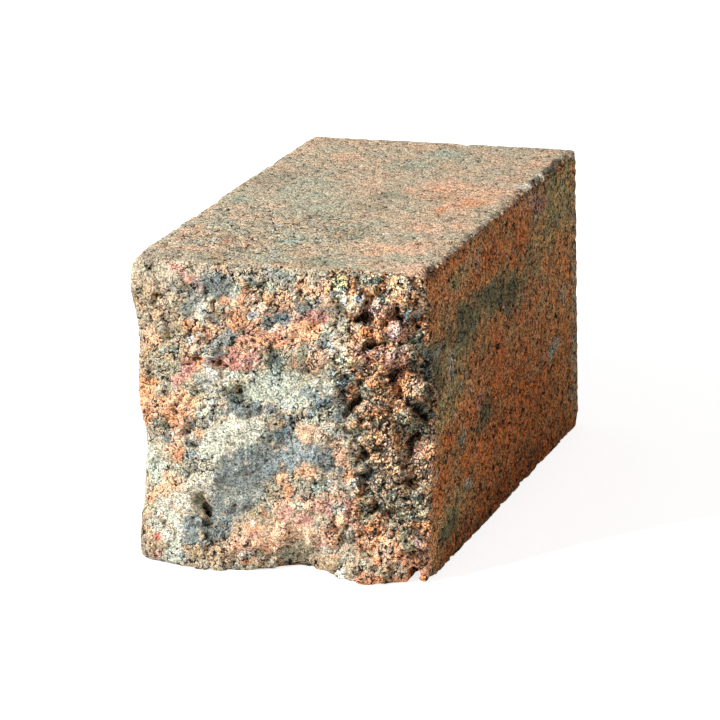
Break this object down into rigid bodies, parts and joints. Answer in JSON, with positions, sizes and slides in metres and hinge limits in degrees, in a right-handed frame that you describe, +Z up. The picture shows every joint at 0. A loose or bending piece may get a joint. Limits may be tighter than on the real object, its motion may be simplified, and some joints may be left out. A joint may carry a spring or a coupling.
{
  "type": "garden wall block",
  "caption": "Solid concrete wall block with a flat bed, flat top, smooth moulded sides and back, and one rough split face.",
  "frame": {"origin": "centre of the block's width and depth, on the plane of its bed", "axes": "+X along the width of the split face to the right as one looks at that face, +Y from the split face to the back, +Z up from the bed to the top"},
  "size_m": [0.098, 0.178, 0.1],
  "materials": {
    "concrete": "rough"
  },
  "bodies": {
    "root": {"wall_block": "concrete"}
  },
  "joints": []
}
